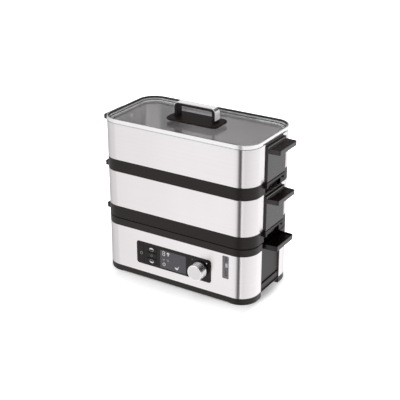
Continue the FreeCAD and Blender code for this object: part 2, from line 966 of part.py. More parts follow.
def build_ring(low):
    """Plastic foot ring of a container, with spigot, floor ledge, end pads and finger recesses."""
    high = low + ring_height
    ledge_top = low + floor_level
    ring = band(0, plastic_wall, low, high)
    ledge_inset = plastic_wall + floor_ledge
    ledge = band(overlap, ledge_inset, ledge_top - ledge_thickness, ledge_top)
    upstand_inset = steel_wall + body_gap
    upstand = band(upstand_inset, plastic_wall, high - upstand_root, high + upstand_height)
    spigot = band(spigot_inset, spigot_inset + spigot_wall, low - spigot_depth, low + spigot_root)
    blocks = end_box(
        half_length - ledge_inset,
        half_length - overlap,
        recess_half_width + recess_wall,
        low,
        ledge_top,
    )
    pad = box(
        half_length - overlap,
        half_length + end_pad_depth,
        -end_half_width,
        end_half_width,
        low + recess_height,
        high - end_groove / 2,
    )
    pad = softened(pad, pad_edge, lambda middle: middle.x > half_length + overlap)
    ring = ring.fuse([ledge, upstand, spigot, blocks, pad, mirrored(pad)])
    recess = end_box(
        half_length - recess_depth,
        half_length + end_pad_depth + overlap,
        recess_half_width,
        low - overlap,
        low + recess_height,
    )
    pad_recess = end_box(
        half_length,
        half_length + end_pad_depth + overlap,
        recess_half_width,
        low,
        high - end_groove / 2 - pad_strip,
    )
    notch = end_box(half_length / 2, half_length, end_half_width + spigot_gap, low - spigot_depth, low)
    return ring.cut([recess, pad_recess, notch])


def handle_screw_places(low):
    """Places across and up the end wall where a handle is screwed on."""
    wall_low = low + ring_height
    sides = (-handle_screw_spread, handle_screw_spread)
    levels = (handle_screw_low, handle_screw_high)
    return [(side, wall_low + level) for side in sides for level in levels]


def end_rod(y, z, near, far, radius):
    """Cylinder along X at the right end."""
    return Part.makeCylinder(radius, far - near, Vector(near, y, z), Vector(1, 0, 0))


def build_wall(low):
    """Steel sleeve of a container, hemmed inward at its top."""
    wall_low = low + ring_height
    high = wall_low + wall_height
    sleeve = band(0, steel_wall, wall_low, high)
    hem = band(steel_wall / 2, 2 * steel_wall, high - hem_height, high)
    sleeve = sleeve.fuse(hem)
    sleeve = softened(sleeve, fine_edge, lambda middle: abs(middle.z - high) < touch and not is_inner(middle))
    cuts = []
    for y, z in handle_screw_places(low):
        hole = end_rod(y, z, half_length - window_cut, half_length + overlap, screw_radius + screw_play)
        cuts += [hole, mirrored(hole)]
    return sleeve.cut(cuts)


def is_inner(middle):
    """True well inside the outer face of the body."""
    beside = abs(middle.y) < body_depth / 2 - touch and abs(middle.x) < half_length - touch
    return beside and not is_outer_corner(middle)


def build_floor(low):
    """Perforated steel floor that lies on the ring ledge."""
    level = low + floor_level
    sheet = plan(plastic_wall + body_gap, level, level + floor_sheet)
    inside = plastic_wall + floor_ledge + hole_radius + hole_margin
    columns = int((half_length - inside) / hole_pitch)
    rows = int((body_depth / 2 - inside) / hole_pitch)
    holes = []
    for column in range(-columns, columns + 1):
        for row in range(-rows, rows + 1):
            x = column * hole_pitch
            y = row * hole_pitch
            holes.append(upright_rod(x, y, level - overlap, level + floor_sheet + overlap, hole_radius))
    return sheet.cut(holes)


def build_handle(low):
    """Right-hand end handle of a container: a plate on the wall with a shelf to lift by."""
    wall_low = low + ring_height
    wall_high = wall_low + wall_height
    face = half_length + end_pad_depth
    plate = box(
        half_length,
        face,
        -end_half_width,
        end_half_width,
        wall_low + end_groove / 2,
        wall_high - plate_drop,
    )
    plate = softened(plate, plate_edge, lambda middle: middle.x > half_length + overlap)
    shelf_high = wall_high - handle_drop
    shelf = tongue(
        handle_reach,
        end_half_width - handle_inset,
        shelf_high - handle_thickness,
        shelf_high,
        half_length + shelf_root,
    )
    shelf_half_width = end_half_width - handle_inset - handle_taper
    grip_half_width = shelf_half_width - grip_side
    grip_low = shelf_high - handle_thickness
    grip = box(
        face + grip_start,
        half_length + handle_reach - grip_end,
        -grip_half_width,
        grip_half_width,
        grip_low - overlap,
        grip_low + grip_depth,
    )
    ridge_face = face + ridge_depth
    ridge_top = shelf_high + ridge_height
    ridge_half_width = shelf_half_width - ridge_side
    ridge = box(
        face - overlap,
        ridge_face,
        -ridge_half_width,
        ridge_half_width,
        shelf_high - overlap,
        ridge_top,
    )
    ridge = softened(
        ridge,
        ridge_edge,
        lambda middle: middle.x > ridge_face - touch and middle.z > shelf_high,
    )
    handle = plate.fuse([shelf, ridge]).cut(grip)
    pilot_end = half_length + handle_screw_bite + handle_pilot_spare
    pilots = [
        end_rod(y, z, half_length, pilot_end, screw_radius + bore_gap) for y, z in handle_screw_places(low)
    ]
    return handle.cut(pilots)


def build_handle_screws(low):
    """Screws from inside the wall into both handles."""
    inner = half_length - steel_wall
    fixings = []
    for y, z in handle_screw_places(low):
        shank = end_rod(y, z, inner, half_length + handle_screw_bite, screw_radius)
        head = end_rod(y, z, inner - screw_head_height, inner, screw_head_radius)
        whole = shank.fuse(head)
        fixings += [whole, mirrored(whole)]
    return Part.makeCompound(fixings)


lid_top = lid_bottom + lid_rim_height
lid_shoulder = lid_top - liner_drop - liner_height - seat_gap
glass_low = lid_bottom - spigot_depth + lid_sheet + seat_gap
glass_top = glass_low + glass_thickness
plate_foot = glass_top + seat_gap
plate_low = plate_foot + plate_foot_height
plate_top = plate_low + plate_thickness
bridge_top = plate_top + bridge_height
bridge_screw_x = bridge_half_length - bridge_leg / 2


def build_lid_rim():
    """Polished lid rim: a lip, a seam and end slots outside, a spigot and a ledge for the glass."""
    seam_top = lid_bottom + lid_seam
    rim = band(0, lid_rim_width, seam_top, lid_shoulder)
    foot = band(lid_seam_depth, lid_rim_width, lid_bottom, seam_top)
    lip = band(0, lid_lip, lid_shoulder - overlap, lid_top)
    spigot = band(spigot_inset, lid_rim_width, lid_bottom - spigot_depth, lid_bottom + overlap)
    ledge_level = lid_bottom - spigot_depth
    ledge = band(spigot_inset, lid_rim_width + glass_ledge, ledge_level, ledge_level + lid_sheet)
    rim = rim.fuse([foot, lip, spigot, ledge])
    slots = end_box(
        half_length - slot_depth,
        half_length + overlap,
        slot_half_width,
        lid_bottom,
        lid_bottom + slot_height,
    )
    rim = rim.cut(slots)
    return softened(rim, fine_edge, lambda middle: abs(middle.z - lid_top) < touch and not is_inner(middle))


def build_lid_liner():
    """Dark bead that lines the lip of the lid rim."""
    outer = lid_lip + seat_gap
    return band(outer, outer + liner_width, lid_shoulder + seat_gap, lid_top - liner_drop)


def build_lid_glass():
    """Glass pane with two holes for the handle screws."""
    pane = plan(lid_rim_width + body_gap, glass_low, glass_top)
    hole_size = screw_radius + glass_hole_play
    places = (-bridge_screw_x, bridge_screw_x)
    return pane.cut([upright_rod(x, 0, glass_low, glass_top, hole_size) for x in places])


def build_lid_gasket():
    """Soft gasket over the edge of the glass."""
    outer = lid_rim_width + seat_gap
    return band(outer, outer + gasket_width, glass_top + bore_gap, glass_top + gasket_height)


def bridge_outline(half_span, top, low, radius, width):
    """Solid block under an arch outline with rounded shoulders, centred on Y = 0."""
    block = box(-half_span, half_span, -width, width, low, top)
    shoulders = [
        e for e in block.Edges if is_along(e, Vector(0, 1, 0)) and e.CenterOfMass.z > top - touch
    ]
    return block.makeFillet(radius, shoulders)


def build_lid_handle():
    """Handle plate on two feet, bridge, steel trim over the bridge, screws and washers."""
    plate = slab(plate_length, plate_width, plate_corner, plate_low, plate_top)
    plate = softened(plate, lid_plate_edge, lambda middle: abs(middle.z - plate_top) < touch)
    places = (-bridge_screw_x, bridge_screw_x)
    feet = [upright_rod(x, 0, plate_foot, plate_low + overlap, plate_foot_radius) for x in places]
    plate = plate.fuse(feet)
    bridge_high = bridge_top - trim_thickness
    bridge = bridge_outline(
        bridge_half_length, bridge_high, plate_top, bridge_corner - trim_thickness, bridge_half_width
    )
    gap = bridge_outline(
        bridge_half_length - bridge_leg,
        bridge_high - bridge_bar,
        plate_top - overlap,
        bridge_inner_corner,
        bridge_half_width + overlap,
    )
    bridge = bridge.cut(gap)
    trim_half_width = bridge_half_width - trim_inset
    trim = bridge_outline(
        bridge_half_length + trim_thickness,
        bridge_top,
        plate_top + trim_start,
        bridge_corner,
        trim_half_width,
    )
    inner = bridge_outline(
        bridge_half_length + trim_gap,
        bridge_high + trim_gap,
        plate_top,
        bridge_corner - trim_thickness,
        trim_half_width + overlap,
    )
    trim = trim.cut(inner)
    head_level = glass_low - washer_thickness
    pilots = []
    screws = []
    washers = []
    for x in places:
        pilot_top = plate_top + screw_bite
        pilots.append(upright_rod(x, 0, plate_foot, pilot_top, screw_radius + bore_gap))
        screws.append(screw(x, 0, head_level, pilot_top - pilot_spare))
        washer = upright_rod(x, 0, head_level, glass_low, screw_head_radius + washer_lip)
        washers.append(washer.cut(upright_rod(x, 0, head_level, glass_low, screw_radius + bore_gap)))
    plate = plate.cut(pilots)
    bridge = bridge.cut(pilots)
    return plate, bridge, trim, Part.makeCompound(screws), Part.makeCompound(washers)


def build_base():
    """Save every piece of the base and of its controls."""
    save("base_pan", build_pan())
    save("foot_pads", build_feet())
    front_shell, rear_shell = build_shells()
    save("front_shell", front_shell)
    save("rear_shell", rear_shell)
    end_panel = build_end_panel()
    save("right_end_panel", end_panel)
    save("left_end_panel", mirrored(end_panel))
    save("base_rim", build_base_rim())
    scoop = build_scoop()
    save("right_filler_scoop", scoop)
    save("left_filler_scoop", mirrored(scoop))
    save("water_basin", build_basin())
    plate, seal, tube, stat, link = build_heater()
    save("heater_plate", plate)
    save("heater_seal", seal)
    save("heating_tube", tube)
    save("thermostat", stat)
    save("thermal_fuse", link)
    save("steam_collar", build_collar())
    gland, nut = build_gland()
    save("cord_gland", gland)
    save("gland_nut", nut)
    fixings = [screw(x, y, counterbore_top, post_foot + screw_bite) for x, y in post_places]
    save("base_screws", Part.makeCompound(fixings))


def build_controls():
    """Save the control panel, what is behind it and what is pressed or turned."""
    save("control_panel", build_panel())
    lens, module = build_display()
    save("display_lens", lens)
    save("display_module", module)
    board, switches, encoder, pipes, fixings = build_board()
    save("control_board", board)
    save("button_switches", switches)
    save("encoder", encoder)
    save("indicator_lights", pipes)
    save("board_screws", fixings)
    for node, place in button_places.items():
        save(node, build_button(*place))
    body, disc, shaft = build_knob()
    save("selector_knob", body)
    save("knob_face", disc)
    save("knob_shaft", shaft)
    lens, housing, bob = build_gauge()
    save("gauge_lens", lens)
    save("gauge_housing", housing)
    save("gauge_float", bob)


def build_container(prefix, low):
    """Save the pieces of one container that stands at a height."""
    save(prefix + "_ring", build_ring(low))
    save(prefix + "_wall", build_wall(low))
    save(prefix + "_floor", build_floor(low))
    handle = build_handle(low)
    save(prefix + "_right_handle", handle)
    save(prefix + "_left_handle", mirrored(handle))
    save(prefix + "_handle_screws", build_handle_screws(low))


def build_lid():
    """Save the pieces of the lid."""
    save("lid_rim", build_lid_rim())
    save("lid_liner", build_lid_liner())
    save("lid_glass", build_lid_glass())
    save("lid_gasket", build_lid_gasket())
    plate, bridge, trim, screws, washers = build_lid_handle()
    save("lid_handle_plate", plate)
    save("lid_handle_bridge", bridge)
    save("lid_handle_trim", trim)
    save("lid_handle_screws", screws)
    save("lid_handle_washers", washers)


os.makedirs("parts", exist_ok=True)
build_base()
build_controls()
build_container("lower", lower_ring)
build_container("upper", upper_ring)
build_lid()
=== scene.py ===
"""Finishes, printed signs and a plain studio for the stacked electric steamer."""

import math

import bmesh
import bpy
from bpy.props import FloatProperty, FloatVectorProperty, PointerProperty
from mathutils import Matrix, Vector


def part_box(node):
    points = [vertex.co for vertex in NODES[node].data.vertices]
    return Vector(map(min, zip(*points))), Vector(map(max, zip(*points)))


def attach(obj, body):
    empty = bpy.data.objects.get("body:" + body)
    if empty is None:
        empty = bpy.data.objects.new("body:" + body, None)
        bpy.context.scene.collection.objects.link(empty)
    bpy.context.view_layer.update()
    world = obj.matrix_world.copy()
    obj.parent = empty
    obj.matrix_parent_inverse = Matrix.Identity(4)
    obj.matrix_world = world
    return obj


bl_info = {
    "name": "Stacked steamer",
    "version": (1, 0, 0),
    "blender": (4, 5, 0),
    "location": "3D View > Sidebar > Steamer",
    "description": "Dresses the packed steamer and sets it in a plain studio",
    "category": "Object",
}

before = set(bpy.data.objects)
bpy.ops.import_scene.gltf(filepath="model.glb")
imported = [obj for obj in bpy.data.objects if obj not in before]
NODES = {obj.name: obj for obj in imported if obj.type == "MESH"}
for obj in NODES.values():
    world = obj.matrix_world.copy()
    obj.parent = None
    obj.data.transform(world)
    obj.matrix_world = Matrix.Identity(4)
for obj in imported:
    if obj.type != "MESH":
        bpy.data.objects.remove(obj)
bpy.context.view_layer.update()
MM = 0.001
KEYS = ("power_button", "upper_tier_button", "start_button", "lower_tier_button")


class SteamerFinish(bpy.types.PropertyGroup):
    """Colours of the steamer's main surfaces."""

    steel: FloatVectorProperty(
        name="Steel",
        description="Colour of the brushed steel and the knob's face",
        default=(0.82, 0.789, 0.796),
        subtype="COLOR",
    )
    polish: FloatVectorProperty(
        name="Polished metal",
        description="Colour of the lid rim and the side of the knob",
        default=(0.93, 0.92, 0.92),
        subtype="COLOR",
    )
    trim: FloatVectorProperty(
        name="Handle trim",
        description="Colour of the silver lacquer on the lid's handle",
        default=(0.96, 0.95, 0.95),
        subtype="COLOR",
    )
    black: FloatVectorProperty(
        name="Black plastic",
        description="Colour of the rings, handles and base pan",
        default=(0.0115, 0.0068, 0.0056),
        subtype="COLOR",
    )
    panel: FloatVectorProperty(
        name="Panel",
        description="Colour of the control panel and its buttons",
        default=(0.0085, 0.0052, 0.0044),
        subtype="COLOR",
    )
    display: FloatVectorProperty(
        name="Display",
        description="Colour of the unlit display window",
        default=(0.066, 0.056, 0.072),
        subtype="COLOR",
    )
    sign: FloatVectorProperty(
        name="Signs",
        description="Colour of the printed signs",
        default=(0.86, 0.86, 0.86),
        subtype="COLOR",
    )


class SteamerTrim(bpy.types.PropertyGroup):
    """Sizes of the painted shade strips above the handles, of the knob's skirt that is painted black,
    and of the prints.
    """

    # The shade strips are black pieces of painted shade on the wall above the end handles
    shade_strip_height: FloatProperty(
        name="Shade strip height",
        description="Height of the painted shade strips above the end handles",
        default=2.1 * MM,
        subtype="DISTANCE",
    )
    shade_strip_depth: FloatProperty(
        name="Shade strip depth",
        description="How far those shade strips stand out from the wall",
        default=1.2 * MM,
        subtype="DISTANCE",
    )
    sign_depth: FloatProperty(
        name="Sign depth",
        description="Thickness of the printed signs",
        default=0.06 * MM,
        subtype="DISTANCE",
    )
    # The knob's skirt is painted black as painted shade where the knob meets the panel
    knob_skirt: FloatProperty(
        name="Knob skirt",
        description="Depth of the painted shade skirt of the knob next to the panel",
        default=2.4 * MM,
        subtype="DISTANCE",
    )


class SteamerStudio(bpy.types.PropertyGroup):
    """Camera and light."""

    azimuth: FloatProperty(
        name="Azimuth",
        description="Turn of the camera to the right of the front",
        default=math.radians(31.77),
        subtype="ANGLE",
    )
    elevation: FloatProperty(
        name="Elevation",
        description="Height of the camera above the horizon",
        default=math.radians(23.84),
        subtype="ANGLE",
    )
    distance: FloatProperty(
        name="Distance",
        description="From the aim point to the camera",
        default=1.7341,
        subtype="DISTANCE",
    )
    aim_height: FloatProperty(
        name="Aim height",
        description="Height of the point in the middle of the picture",
        default=0.1409,
        subtype="DISTANCE",
    )
    aim_right: FloatProperty(
        name="Aim to the right",
        description="Shift of that point to the camera's right",
        default=0.005855,
        subtype="DISTANCE",
    )
    lens: FloatProperty(
        name="Lens",
        description="Focal length in millimetres on a 36 mm sensor",
        default=86.46,
        unit="CAMERA",
    )
    key_power: FloatProperty(
        name="Key light",
        description="Power of the large soft lights at the front and on top",
        default=14.0,
        subtype="POWER",
    )
    fill_power: FloatProperty(
        name="Fill light",
        description="Power of the soft light on the right",
        default=5.0,
        subtype="POWER",
    )


class Link:
    """A shader socket that takes part in Python sums."""

    def __init__(self, recipe, socket):
        self.recipe = recipe
        self.socket = socket

    def maths(self, operation, first, second=0.0):
        return self.recipe.node("ShaderNodeMath", {"operation": operation}, {0: first, 1: second})

    def __add__(self, other):
        return self.maths("ADD", self, other)

    def __sub__(self, other):
        return self.maths("SUBTRACT", self, other)

    def __rsub__(self, other):
        return self.maths("SUBTRACT", other, self)

    def __mul__(self, other):
        return self.maths("MULTIPLY", self, other)

    __radd__ = __add__
    __rmul__ = __mul__

    def __abs__(self):
        return self.maths("ABSOLUTE", self)

    def largest(self, other):
        return self.maths("MAXIMUM", self, other)

    def angle_from(self, other):
        return self.maths("ARCTAN2", self, other)


class Recipe:
    """Node tree of one material or of the world, built by expressions."""

    def __init__(self, owner):
        owner.use_nodes = True
        self.tree = owner.node_tree
        self.tree.nodes.clear()

    def node(self, kind, settings=None, inputs=None, output=0):
        made = self.tree.nodes.new(kind)
        for key, value in (settings or {}).items():
            if key == "stops":
                self.set_stops(made.color_ramp.elements, value)
            else:
                setattr(made, key, value)
        for key, value in (inputs or {}).items():
            if isinstance(value, Link):
                self.tree.links.new(value.socket, made.inputs[key])
            else:
                made.inputs[key].default_value = value
        return Link(self, made.outputs[output])

    @staticmethod
    def set_stops(elements, stops):
        """Give a ramp its grey stops, as pairs of place and value."""
        while len(elements) < len(stops):
            elements.new(1.0)
        for element, (place, value) in zip(elements, stops):
            element.position = place
            element.color = (value, value, value, 1.0)

    def result(self, kind, surface):
        output = self.tree.nodes.new(kind)
        self.tree.links.new(surface.socket, output.inputs["Surface"])

    def spot(self):
        """Object coordinates, in metres."""
        return self.node("ShaderNodeTexCoord", output="Object")

    def normal(self):
        """Direction that the surface faces."""
        return self.node("ShaderNodeNewGeometry", output="Normal")

    def axes(self, vector):
        """The three parts of a vector."""
        split = self.node("ShaderNodeSeparateXYZ", inputs={0: vector})
        return [Link(self, socket) for socket in split.socket.node.outputs]

    def vector(self, operation, first, second=None, output=0):
        inputs = {0: first} if second is None else {0: first, 1: second}
        return self.node("ShaderNodeVectorMath", {"operation": operation}, inputs, output)

    def noise(self, scale, detail=3.0, rough=0.5):
        """Noise on object coordinates, with a scale per axis."""
        place = self.node("ShaderNodeMapping", inputs={"Vector": self.spot(), "Scale": scale})
        return self.node(
            "ShaderNodeTexNoise",
            inputs={"Vector": place, "Scale": 1.0, "Detail": detail, "Roughness": rough},
        )

    def remap(self, value, low, high, to_low, to_high, smooth=False):
        return self.node(
            "ShaderNodeMapRange",
            {"interpolation_type": "SMOOTHSTEP" if smooth else "LINEAR"},
            {"Value": value, 1: low, 2: high, 3: to_low, 4: to_high},
        )

    def around(self, noise, low, high):
        """Value that follows the usual swing of a noise."""
        return self.remap(noise, 0.3, 0.7, low, high)

    def tint(self, mask, dark, light):
        """Colour between two, by a mask."""
        return self.node(
            "ShaderNodeMix",
            {"data_type": "RGBA"},
            {0: mask, 6: (*dark, 1.0), 7: (*light, 1.0)},
            output=2,
        )

    def bump(self, height, strength, distance, below=None):
        inputs = {"Height": height, "Strength": strength, "Distance": distance}
        if below:
            inputs["Normal"] = below
        return self.node("ShaderNodeBump", inputs=inputs)


def material(name):
    made = bpy.data.materials.new(name)
    return made, Recipe(made)


def scaled(values, share):
    return tuple(part * share for part in values)


def principled(recipe, inputs):
    surface = recipe.node("ShaderNodeBsdfPrincipled", inputs=inputs)
    recipe.result("ShaderNodeOutputMaterial", surface)


# Noise per metre along X, Y and Z
LEVEL_BRUSH = (9.0, 9.0, 2600.0)
BASIN_BRUSH = (40.0, 40.0, 900.0)
FLOOR_BRUSH = (8.0, 1500.0, 8.0)
EVEN_BRUSH = (300.0, 300.0, 300.0)
STEEL_CLOUDS = (9.0, 9.0, 4.0)
LACQUER_FLAKE = (2600.0, 2600.0, 2600.0)
TURNED_GROOVES = (3.0, 9000.0, 3.0)
SPARK_GRAIN = (1800.0, 1800.0, 1800.0)
MOULD_CLOUDS = (22.0, 22.0, 22.0)
MOULD_WAVE = (35.0, 35.0, 35.0)


def brushed_steel(name, colour, brush=LEVEL_BRUSH, anisotropy=0.92, metal=1.0):
    """Steel with fine scratches that run level round the body, so that reflections smear upright."""
    made, recipe = material(name)
    fine = recipe.noise(brush, 4.0, 0.65)
    broad = recipe.noise(scaled(brush, 0.3), 2.0)
    streaks = recipe.noise(scaled(brush, 0.1), 3.0, 0.6)
    clouds = recipe.noise(STEEL_CLOUDS, 2.0)
    grain = fine * 0.6 + broad * 0.4
    tone = recipe.remap(grain * 0.3 + streaks * 0.25 + clouds * 0.45, 0.32, 0.68, 0.0, 1.0)
    principled(
        recipe,
        {
            "Base Color": recipe.tint(tone, scaled(colour, 0.93), scaled(colour, 1.04)),
            "Metallic": metal,
            "Roughness": recipe.around(grain, 0.275, 0.305),
            "Anisotropic": anisotropy,
            "Anisotropic Rotation": 0.25,
            "Normal": recipe.bump(grain, 0.012, 0.0001),
        },
    )
    return made


def silver_lacquer(name, colour, metal, bare_bends=False):
    """Silver lacquer with a fine flake, which can be rubbed down to bare metal along its bends."""
    made, recipe = material(name)
    flake = recipe.noise(LACQUER_FLAKE, 2.0)
    if bare_bends:
        across, _, up = recipe.axes(recipe.normal())
        slant = abs(across * up)
        metal = recipe.remap(slant + flake * 0.02, 0.40, 0.48, metal, 0.95)
    principled(
        recipe,
        {
            "Base Color": recipe.tint(flake, scaled(colour, 0.96), colour),
            "Metallic": metal,
            "Roughness": recipe.around(flake, 0.22, 0.28),
        },
    )
    return made


def knob_metal(colour, skirt_shade_colour, skirt_front):
    """Turned metal with grooves round the knob's axis, and its skirt next to the panel painted black
    as painted shade where the knob meets the panel.
    """
    made, recipe = material("knob_metal")
    depth = recipe.axes(recipe.spot())[1]
    # Painted shade: the skirt next to the panel gets the panel's black and no metal
    skirt = recipe.remap(depth, skirt_front - 0.5 * MM, skirt_front - 0.3 * MM, 0.0, 1.0)
    grooves = recipe.noise(TURNED_GROOVES, 2.0)
    tilt = recipe.node("ShaderNodeCombineXYZ", inputs={1: (grooves - 0.58) * 5.0})
    leaning = recipe.vector("ADD", recipe.normal(), tilt)
    principled(
        recipe,
        {
            "Base Color": recipe.tint(skirt, colour, skirt_shade_colour),
            "Metallic": 1 - skirt,
            "Roughness": recipe.around(grooves, 0.14, 0.20),
            "Normal": recipe.vector("NORMALIZE", leaning),
        },
    )
    return made


def satin_metal(name, colour, centre):
    """Turned metal face with fine rings round its own middle."""
    made, recipe = material(name)
    centred = recipe.node(
        "ShaderNodeMapping", inputs={"Vector": recipe.spot(), "Location": scaled(centre, -1)}
    )
    rings = recipe.node(
        "ShaderNodeTexWave",
        {"wave_type": "RINGS", "rings_direction": "SPHERICAL"},
        {"Vector": centred, "Scale": 900.0, "Distortion": 2.0, "Detail": 2.0},
        output="Fac",
    )
    principled(
        recipe,
        {
            "Base Color": recipe.tint(rings, scaled(colour, 0.97), scaled(colour, 1.03)),
            "Metallic": 1.0,
            "Roughness": recipe.remap(rings, 0.0, 1.0, 0.30, 0.38),
            "Normal": recipe.bump(rings, 0.03, 0.0001),
        },
    )
    return made


def moulded_plastic(name, colour, rough, ior=1.40, grain=0.10):
    """Moulded plastic with a fine spark-eroded grain, and a painted highlight that lightens the colour
    along rounded edges.
    """
    made, recipe = material(name)
    speck = recipe.noise(SPARK_GRAIN, 2.0)
    cloud = recipe.noise(MOULD_CLOUDS, 3.0)
    rounded = recipe.node("ShaderNodeBevel", {"samples": 4}, {"Radius": 0.7 * MM})
    turn = recipe.vector("DOT_PRODUCT", rounded, recipe.normal(), "Value")
    # Painted highlight: the colour gets lighter where the rounded edge turns away from the face
    painted_edge_highlight = recipe.remap(turn, 0.995, 0.80, 0.0, 1.0)
    tone = recipe.remap(cloud * 0.5 + painted_edge_highlight * 0.5, 0.15, 0.85, 0.0, 1.0)
    principled(
        recipe,
        {
            "Base Color": recipe.tint(tone, scaled(colour, 0.85), scaled(colour, 1.5)),
            "Roughness": recipe.around(speck * 0.5 + cloud * 0.5, *rough),
            "IOR": ior,
            "Normal": recipe.bump(speck, grain, 0.00015, rounded),
        },
    )
    return made


def gloss_plastic(name, colour, rough=0.08, ior=1.5):
    """Smooth glossy plastic with a faint moulding wave."""
    made, recipe = material(name)
    wave = recipe.noise(MOULD_WAVE, 2.0)
    principled(
        recipe,
        {
            "Base Color": recipe.tint(wave, scaled(colour, 0.9), scaled(colour, 1.1)),
            "Roughness": recipe.around(wave, rough, rough + 0.05),
            "IOR": ior,
            "Normal": recipe.bump(wave, 0.02, 0.0004),
        },
    )
    return made


def indicator_window(name, dull, bright, low, high):
    """Two small windows in one node, the left one dull and the right one painted light as a highlight.
    """
    made, recipe = material(name)
    across = recipe.axes(recipe.spot())[0]
    # Painted highlight: the right window is given a light colour
    side = recipe.remap(across, low.x, high.x, 0.0, 1.0, True)
    haze = recipe.noise((400.0, 400.0, 400.0), 2.0)
    principled(
        recipe,
        {
            "Base Color": recipe.tint(side, dull, bright),
            "Roughness": recipe.around(haze, 0.10, 0.16),
        },
    )
    return made


def clear_glass(name, colour, rough):
    """Clear pane that lets the light of the lamps through."""
    made, recipe = material(name)
    smear = recipe.noise((14.0, 14.0, 14.0), 3.0)
    pane = recipe.node(
        "ShaderNodeBsdfPrincipled",
        inputs={
            "Base Color": (*colour, 1.0),
            "Roughness": recipe.remap(smear, 0.35, 0.7, rough, rough + 0.02),
            "IOR": 1.46,
            "Transmission Weight": 1.0,
        },
    )
    shadow = recipe.node("ShaderNodeLightPath", output="Is Shadow Ray")
    diffuse = recipe.node("ShaderNodeLightPath", output="Is Diffuse Ray")
    open_air = recipe.node("ShaderNodeBsdfTransparent", inputs={"Color": (*colour, 1.0)})
    lets_through = shadow.largest(diffuse)
    mixed = recipe.node("ShaderNodeMixShader", inputs={0: lets_through, 1: pane, 2: open_air})
    recipe.result("ShaderNodeOutputMaterial", mixed)
    return made


def silicone(name, colour):
    """Dull soft rubber with a dusty bloom."""
    made, recipe = material(name)
    bloom = recipe.noise((120.0, 120.0, 120.0), 4.0)
    principled(
        recipe,
        {
            "Base Color": recipe.tint(bloom, scaled(colour, 0.8), scaled(colour, 1.4)),
            "Roughness": recipe.around(bloom, 0.55, 0.7),
            "Normal": recipe.bump(bloom, 0.05, 0.0002),
        },
    )
    return made


def circuit_board():
    """Green board with a faint weave."""
    made, recipe = material("circuit_board")
    weave = recipe.noise((900.0, 900.0, 900.0), 2.0)
    principled(
        recipe,
        {
            "Base Color": recipe.tint(weave, (0.02, 0.12, 0.05), (0.04, 0.20, 0.09)),
            "Roughness": recipe.around(weave, 0.35, 0.5),
        },
    )
    return made


def dress(made, *names):
    """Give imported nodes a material."""
    for name in names:
        slots = NODES[name].data.materials
        slots.clear()
        slots.append(made)


def leave_out_of_mirrors(*names):
    """Keep pieces out of reflections, so that the steel and plastic beside them stay even."""
    for name in names:
        NODES[name].visible_glossy = False


def middle(name):
    low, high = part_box(name)
    return (low + high) / 2


def add_piece(name, shape, surface):
    """Object at the origin from a finished bmesh."""
    data = bpy.data.meshes.new(name)
    shape.to_mesh(data)
    shape.free()
    data.materials.append(surface)
    made = bpy.data.objects.new(name, data)
    bpy.context.scene.collection.objects.link(made)
    return made


# Colours of the smaller pieces, and the range of roughness of matt plastic
SCREW_STEEL = (0.62, 0.62, 0.63)
HEATER_METAL = (0.7, 0.7, 0.7)
FOOT_RUBBER = (0.02, 0.02, 0.02)
# Black of the lid's liner, a painted reflection of the dark surroundings
RIM_REFLECTION_BLACK = (0.02, 0.02, 0.021)
COLLAR_GREY = (0.25, 0.25, 0.26)
GAUGE_GREY = (0.36, 0.34, 0.36)
GAUGE_TINT = (0.94, 0.93, 0.95)
LID_TINT = (0.96, 0.97, 0.97)
PALE_PLASTIC = (0.8, 0.8, 0.78)
# Black of painted shade for the lines between the buttons
GROOVE_SHADE = (0.0015, 0.0015, 0.0015)
LIGHT_DULL = (0.12, 0.12, 0.12)
# Light colour of the right indicator window, a painted highlight
PAINTED_GLINT = (0.78, 0.78, 0.78)
MATT = (0.36, 0.46)


def screw_steel(name):
    """Plain steel of screws and washers."""
    return brushed_steel(name, SCREW_STEEL, EVEN_BRUSH, 0.0)


class STEAMER_OT_base(bpy.types.Operator):
    """Finish the base: steel shells, black plastic, water basin and heater."""

    bl_idname = "steamer.base"
    bl_label = "Base"

    def execute(self, context):
        finish = context.scene.steamer_finish
        dress(brushed_steel("base_steel", finish.steel), "front_shell", "rear_shell")
        dress(
            moulded_plastic("base_black", finish.black, MATT),
            "base_pan",
            "base_rim",
            "left_end_panel",
            "right_end_panel",
            "cord_gland",
            "gland_nut",
            "button_switches",
        )
        scoops = ("left_filler_scoop", "right_filler_scoop")
        # Painted shade: the scoops get a darker black than the other plastic, for the shade on them
        # under the handles above
        painted_shade_black = scaled(finish.black, 0.35)
        dress(moulded_plastic("scoop_black", painted_shade_black, (0.12, 0.18), ior=1.42, grain=0.05), *scoops)
        leave_out_of_mirrors(*scoops)
        dress(silicone("foot_rubber", FOOT_RUBBER), "foot_pads", "heater_seal")
        dress(brushed_steel("basin_steel", finish.steel, BASIN_BRUSH, 0.4), "water_basin")
        heater = satin_metal("heater_metal", HEATER_METAL, middle("heater_plate"))
        dress(heater, "heater_plate", "heating_tube", "thermostat", "encoder")
        dress(moulded_plastic("collar_grey", COLLAR_GREY, (0.35, 0.45)), "steam_collar")
        dress(moulded_plastic("gauge_grey", GAUGE_GREY, (0.35, 0.45)), "gauge_housing")
        dress(gloss_plastic("pale_plastic", PALE_PLASTIC), "thermal_fuse", "gauge_float")
        dress(screw_steel("screw_steel"), "base_screws", "board_screws")
        dress(clear_glass("gauge_window", GAUGE_TINT, 0.02), "gauge_lens")
        dress(circuit_board(), "control_board")
        return {"FINISHED"}


